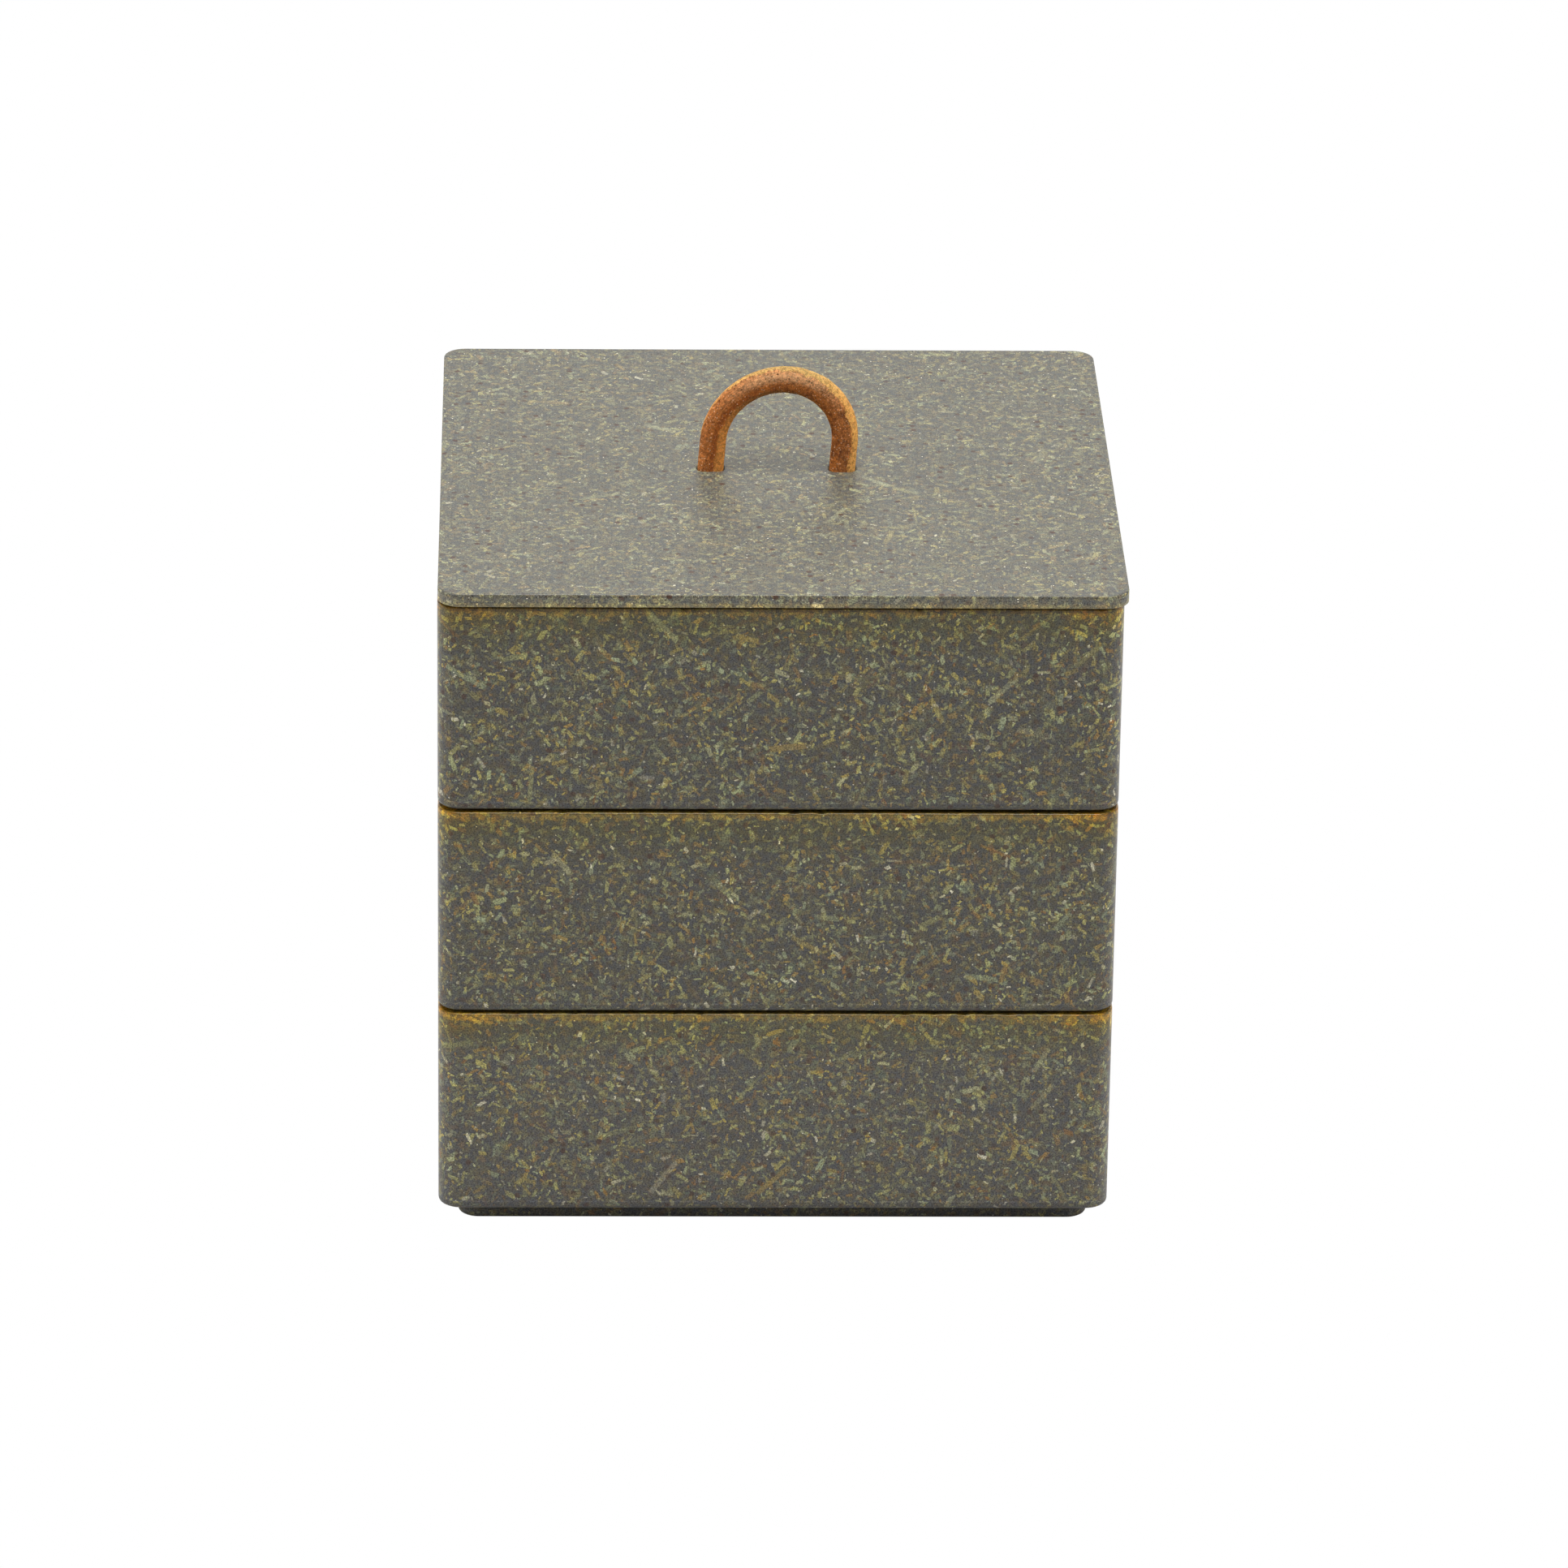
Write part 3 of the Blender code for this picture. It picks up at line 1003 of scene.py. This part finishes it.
def flakedResin(name, look, form):
    material, wire, shader = newMaterial(name, look["roughness"], look["specular"])
    flow = wire.node("UVMap", {"uv_map": "flow"})
    axes = wire.node("SeparateXYZ", None, {"Vector": flow})
    down = axes.out("Y")
    away = flatNoise(flow, "ragged", "Color").vector("SUBTRACT", (0.5, 0.5, 0.5))
    away = wire.node("VectorMath", {"operation": "SCALE"}, {0: away, "Scale": form["raggedness"]})
    shaken = flow.vector("ADD", away)
    patchy = flatNoise(flow, "patchy")
    grain = flatNoise(flow, "grain")
    smudge = flatNoise(flow, "smudge")
    colour = smudge.ramp(*form["warm"]).blend(rgba(look["base"]), rgba(look["baseWarm"]))
    crowd = patchy.ramp(*form["crowded"]).raised(*form["crowd"])
    if look["mouldLine"]:  # the chips show less below it
        crowd = crowd * (down + look["mouldLine"]).ramp(*form["nearLine"]).raised(*form["belowLine"])
    height = grain * form["heights"]["grain"]
    for number, chip in enumerate(resinChips.values()):
        cover, die = chipLayer(wire, shaken, chip, number + 1)
        cover = cover * crowd * look["chipShow"] * grain.raised(*form["chipGrain"])
        tones = [(at, mixed(tone, paleChip, look["fade"])) for at, tone in chipTones[chip["tones"]]]
        colour = cover.blend(colour, wire.node("ValToRGB", {"stops": tones}, {"Fac": die}))
        if chip["tones"] == "straw":  # the sunk ones lie under the surface
            height = height + cover * form["heights"]["chip"]
    for kind in resinSpecks.values():
        placed = shaken.vector("ADD", (kind["shift"], kind["shift"], 0))
        cell, dice = cellsOf(wire, placed, kind["size"], flat)
        shown = (form["speckSize"] - cell).ramp(0.0, form["speckEdge"])
        speck = shown * dice.math("LESS_THAN", kind["chance"]) * dice.out("Green")
        colour = (speck * look["specks"]).blend(colour, rgba(kind["tone"]))
        height = height - speck * form["heights"]["speck"]

    blotch = flatNoise(flow, "blotch")
    uneven = blotch.ramp(*form["blotches"]).raised(*form["uneven"])
    rough = look["roughness"] + form["polish"] * (grain - 0.5)
    if look["stain"]:
        colour = stainAndShadeWall(colour, look, rimStainAndShade, axes, blotch, smudge, uneven)
    else:
        colour = down.between(*lidEdge["band"]).tint(colour, rgba(lidEdge["bandTint"]))
        flash = down.between(*lidEdge["flash"]) * uneven
        colour = flash.upTo(1.0).tint(colour, rgba(lidEdge["flashTint"]))
        rough = rough + down.between(*lidEdge["dull"]) * lidEdge["dullness"]
    shades = 1 - form["darker"] * look["grain"], 1, 1 + form["lighter"] * look["grain"]
    colour = toned(wire, colour, grain, [(at, [shade] * 3) for at, shade in zip(form["grainReach"], shades)])
    plug(colour, shader, "Base Color")
    plug(rough, shader, "Roughness")
    bump = wire.node("Bump", None, {"Height": height, "Strength": look["bump"], "Distance": form["relief"]})
    plug(bump, shader, "Normal")
    return material


# the bottom tier's resin carries painted light, and the top tier's a deeper painted shade under the lid
resins = (("bottomPaintedLightResin", bottomPaintedLightLook), ("trayResin", trayLook), ("topStainAndShadeResin", topStainAndShadeLook), ("lidResin", lidLook))
for piece, (name, look) in zip(trays + [lid], resins):
    piece.data.materials.clear()
    piece.data.materials.append(flakedResin(name, look, resinForm))
print("resin mixed")


# Leather: a dark nap in front, and paler cut edges along the outside and the inside of the arch, with painted
# light on the top of the arch and painted shade on its inner side and under it

leatherLook = {
    "nap": linear(200, 124, 64),
    # painted light on the top of the arch
    "napPaintedLight": linear(240, 180, 126),
    # painted shade on the nap where it turns to the inner side
    "napPaintedShade": linear(190, 111, 46),
    "napDark": linear(96, 50, 20),
    "cut": linear(236, 174, 92),
    "cutInner": linear(226, 150, 70),
    # painted light on the cut edge at the top of the arch
    "cutPaintedLight": linear(220, 180, 108),
    "streak": linear(166, 88, 30),
    "roughness": 0.85,
    "specular": 0.25,
    "relief": 1.6 * mm,
    "tones": [(0.36, (0.60, 0.45, 0.34)), (0.48, (1, 1, 1)), (0.60, (1.8, 1.75, 1.65))],
}

leatherForm = {  # angles are in radians from the front, lengths in millimetres from the left end
    "drawnOut": 0.30,       # below 1, so that fibres run along the strip
    "fibreRadius": 2.4,
    "evenRadius": 2.6,
    "front": 0.66,          # where the front of the left end lies
    "twist": 1.02,          # and how far it has turned at the right end
    "twisted": (0.0, 60.0),
    "wander": (1.2, 1.0),   # how far the borders wander by the mottle and the nap
    # painted shade: where the nap darkens as it turns inward
    "napShadeRise": (-0.9, 0.6),
    "outerCut": (0.78, 1.02),
    "innerCut": (-1.10, -0.84),
    # painted shade under the arch: the pale inner cut edge gives way to nap along the strip
    "innerShadeFades": (9.0, 22.0),
    "innerPaintedShade": 0.8,
    # painted light on the top of the arch: where along the strip it lies, and how it follows the side that
    # faces up
    "top": ((13.0, 28.0), (34.0, 47.0)),
    "lit": (-0.25, 0.55),
    "litFades": (0.6, 1.2),
    "shadeMottle": (0.42, 0.62),
    "shadeFibres": (0.48, 0.62),
    "shadeRight": (34.0, 46.0),
    "shadeShow": (0.55, 0.45),
    "darkest": 0.85,
    "seam": ((-1.10, -0.86), (-0.62, -0.36)),
    "seamFades": (14.0, 32.0),
    "seamFibres": (0.4, 0.6),
    "seamLeast": 0.35,
    "lines": (0.50, 0.60),  # of fibres in the cut edges
    "lineShow": 0.4,
    "speckSize": 0.46,      # shares of a cell
    "speckEdge": 0.25,
    "speckShow": (0.22, 0.68),
    "cutHides": 0.75,       # of the specks
    "polish": 0.3,
    "fibreHeight": 0.7,
}

leatherNoise = {
    "fibres": {"Scale": 2.2, "Detail": 5.0, "Roughness": 0.75},
    "mottle": {"Scale": 0.45, "Detail": 5.0, "Roughness": 0.70},
    "nap": {"Scale": 1.5, "Detail": 6.0, "Roughness": 0.92},
}

leatherSpecks = {
    "pale fibre": {"size": 0.42, "chance": 0.30, "tone": linear(244, 206, 162)},
    "dark pit": {"size": 0.60, "chance": 0.28, "tone": linear(80, 40, 18)},
}


def rawLeather(name, look, form):
    material, wire, shader = newMaterial(name, look["roughness"], look["specular"])
    strip = wire.node("UVMap", {"uv_map": "strip"})
    axes = wire.node("SeparateXYZ", None, {"Vector": strip})
    along, around = axes.out("X"), axes.out("Y")  # millimetres from the left end, radians from the front
    sideX, sideY = around.math("COSINE"), around.math("SINE")
    narrow, wide = form["fibreRadius"], form["evenRadius"]
    drawn = along * form["drawnOut"]
    wound = wire.node("CombineXYZ", None, {"X": drawn, "Y": sideX * narrow, "Z": sideY * narrow})
    even = wire.node("CombineXYZ", None, {"X": along, "Y": sideX * wide, "Z": sideY * wide})
    fibres, mottle, nap = (wire.node("TexNoise", None, {"Vector": place, **leatherNoise[kind]})
                           for place, kind in ((wound, "fibres"), (even, "mottle"), (even, "nap")))
    # the strip is twisted a little, so that its front turns on the way from foot to foot; only its colours
    # follow the twist, its shape does not
    front = form["front"] - form["twist"] * along.ramp(*form["twisted"])
    byMottle, byNap = form["wander"]
    facing = around - front + (mottle - 0.5) * byMottle + (nap - 0.5) * byNap
    outerCut = facing.ramp(*form["outerCut"])
    # painted shade: the inner cut edge fades out under the arch
    innerShow = 1 - form["innerPaintedShade"] * along.ramp(*form["innerShadeFades"])
    innerCut = (1 - facing.ramp(*form["innerCut"])) * innerShow
    # painted shade: the nap darkens as it turns to the inner side of the strip
    colour = facing.ramp(*form["napShadeRise"]).blend(rgba(look["napPaintedShade"]), rgba(look["nap"]))
    # painted light: the top of the arch and the cut edges there are made paler where they face up
    paintedLightTop = along.between(*form["top"])
    lit = paintedLightTop * around.ramp(*form["lit"]) * (1 - 0.5 * around.ramp(*form["litFades"]))
    colour = lit.blend(colour, rgba(look["napPaintedLight"]))
    shade = 0.5 * mottle.ramp(*form["shadeMottle"]) + 0.5 * fibres.ramp(*form["shadeFibres"])
    shade = shade * along.ramp(*form["shadeRight"]).raised(*form["shadeShow"])
    colour = shade.upTo(form["darkest"]).blend(colour, rgba(look["napDark"]))
    cut = paintedLightTop.blend(outerCut.blend(rgba(look["cutInner"]), rgba(look["cut"])), rgba(look["cutPaintedLight"]))
    edges = outerCut.math("MAXIMUM", innerCut)
    colour = edges.blend(colour, cut)
    seam = facing.between(*form["seam"]) * (1 - along.ramp(*form["seamFades"]))
    streak = seam * (form["seamLeast"] + fibres.ramp(*form["seamFibres"]))
    grainLine = edges * fibres.ramp(*form["lines"]) * form["lineShow"]
    colour = streak.math("MAXIMUM", grainLine).upTo(form["darkest"]).blend(colour, rgba(look["streak"]))
    for kind in leatherSpecks.values():
        cell, dice = cellsOf(wire, even, kind["size"], None)
        shown = (form["speckSize"] - cell).ramp(0.0, form["speckEdge"])
        speck = shown * dice.math("LESS_THAN", kind["chance"]) * (1 - edges * form["cutHides"])
        colour = (speck * dice.out("Green").raised(*form["speckShow"])).blend(colour, rgba(kind["tone"]))
    plug(toned(wire, colour, nap, look["tones"]), shader, "Base Color")
    plug(look["roughness"] + form["polish"] * (nap - 0.5), shader, "Roughness")
    height = fibres * form["fibreHeight"] + nap
    bump = wire.node("Bump", None, {"Height": height, "Strength": 1.0, "Distance": look["relief"]})
    plug(bump, shader, "Normal")
    return material


leatherLoop.data.materials.append(rawLeather("rawLeather", leatherLook, leatherForm))
print("leather dyed")


# Studio: a pale floor, lights above, beside and behind the box, and a white room around

studio = {
    "floorSize": 8.0,
    "floorTone": 0.5,
    "floorRoughness": 0.9,
    "roomLight": 0.30,
    "aim": (0, 0, 0.08),
    "lights": [  # only the mirrored ones show in the sheen of the box
        {"name": "above", "place": (0.0, -0.35, 1.6), "size": (1.1, 1.1), "power": 39.0, "mirrored": True},
        {"name": "left", "place": (-1.8, 0.0, 0.6), "size": (1.4, 1.1), "power": 35.0, "mirrored": False},
        {"name": "right", "place": (1.8, 0.0, 0.6), "size": (1.4, 1.1), "power": 35.0, "mirrored": False},
        {"name": "behind", "place": (0.0, 2.4, 0.95), "size": (4.0, 1.8), "power": 23.5, "mirrored": True},
    ],
}


def makeFloor(setup):
    bm = bmesh.new()
    bmesh.ops.create_grid(bm, x_segments=1, y_segments=1, size=setup["floorSize"] / 2)
    floor = finishPiece("floor", bm)
    paper, wire, shader = newMaterial("floorPaper", setup["floorRoughness"], 0.0)
    shader.inputs["Base Color"].default_value = rgba([setup["floorTone"]] * 3)
    # the paper looks evenly white, however the box shades it
    white = wire.node("Emission", None, {"Color": (1, 1, 1, 1), "Strength": 1.0})
    seen = wire.node("LightPath", output="Is Camera Ray")
    shown = wire.node("MixShader", None, {0: seen, 1: Wire(wire.tree, shader.outputs[0]), 2: white})
    plug(shown, wire.tree.nodes["Material Output"], "Surface")
    floor.data.materials.append(paper)


def makeRoom(setup):
    room = bpy.data.worlds.new("room")
    room.use_nodes = True
    background = room.node_tree.nodes["Background"]
    background.inputs["Color"].default_value = (1, 1, 1, 1)
    background.inputs["Strength"].default_value = setup["roomLight"]
    bpy.context.scene.world = room


def makeLights(setup):
    for light in setup["lights"]:
        data = bpy.data.lights.new(light["name"], "AREA")
        data.shape = "RECTANGLE"
        data.size, data.size_y = light["size"]
        data.energy = light["power"]
        lamp = bpy.data.objects.new(light["name"], data)
        bpy.context.scene.collection.objects.link(lamp)
        place = Vector(light["place"])
        lamp.location = place
        lamp.rotation_euler = (Vector(setup["aim"]) - place).to_track_quat("-Z", "Y").to_euler()
        lamp.visible_glossy = light["mirrored"]


makeFloor(studio)
makeRoom(studio)
makeLights(studio)
bpy.context.scene.view_settings.view_transform = "Standard"
print("studio lit")
